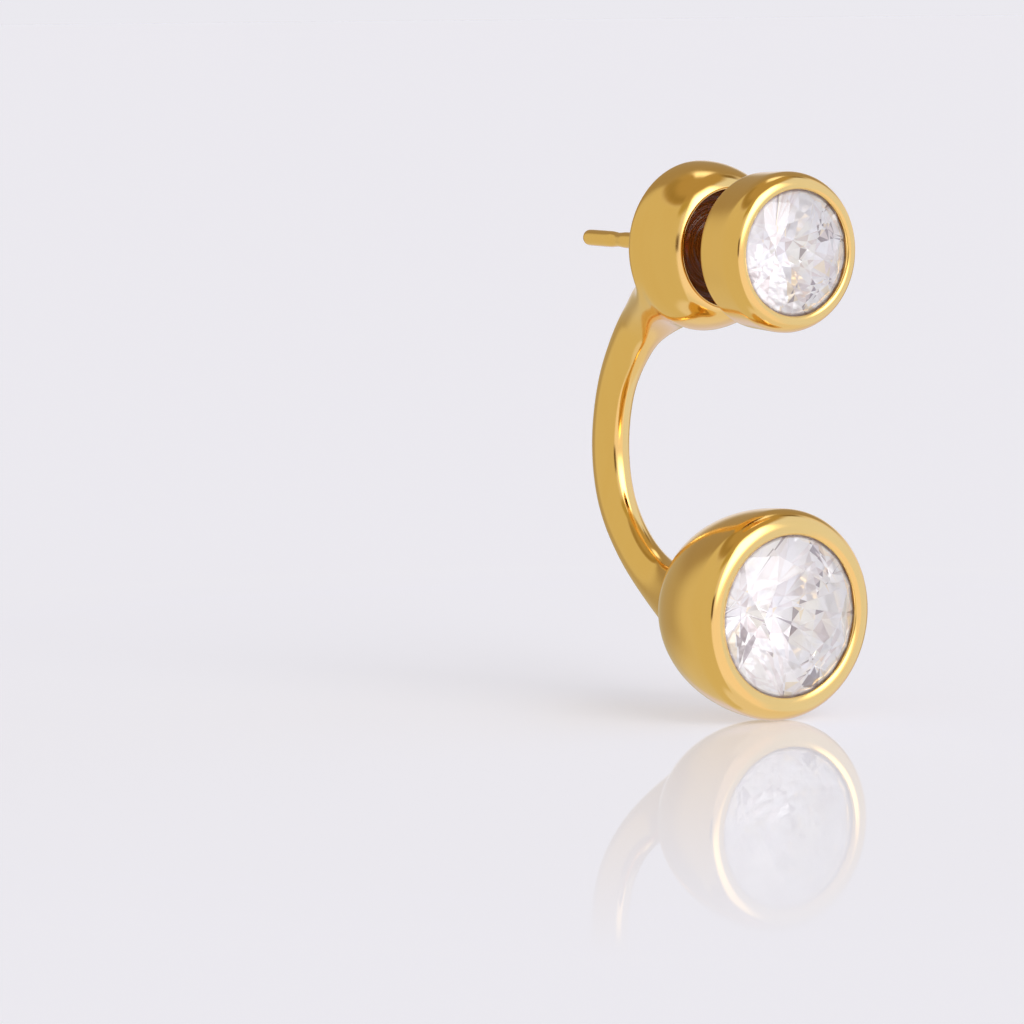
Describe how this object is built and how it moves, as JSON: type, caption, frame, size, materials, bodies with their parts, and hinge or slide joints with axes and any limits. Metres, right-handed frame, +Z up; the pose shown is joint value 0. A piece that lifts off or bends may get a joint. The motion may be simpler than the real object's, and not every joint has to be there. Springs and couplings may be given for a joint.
{
  "type": "ear jacket earring",
  "caption": "Gold bezel stud whose post carries a sliding, swivelling jacket: a round button behind the lobe, a curved arm and a larger stone cup under the lobe.",
  "frame": {"origin": "on the post's axis at the back face of the stud's cup, where the stud bears on the front of the ear lobe", "axes": "+Z up as worn, +Y back through the lobe along the post, stones face -Y, +X across the ear"},
  "size_m": [0.0102, 0.0177, 0.0265],
  "materials": {
    "polished_gold": "polished gold plate",
    "clear_stone": "faceted and polished",
    "clear_silicone": "translucent satin"
  },
  "bodies": {
    "stud": {"stud_setting": "polished_gold", "stud_stone": "clear_stone"},
    "insert": {"grip_insert": "clear_silicone"},
    "jacket": {"jacket_frame": "polished_gold", "jacket_stone": "clear_stone"}
  },
  "joints": [
    {"name": "jacket_slide", "type": "slide", "parent": "stud", "child": "insert", "axis": [0, 1, 0], "range_m": [-0.00215, 0.0075]},
    {"name": "jacket_swivel", "type": "hinge", "parent": "insert", "child": "jacket", "pos_m": [0, 0.00446, 0], "axis": [0, 1, 0], "continuous": true}
  ]
}
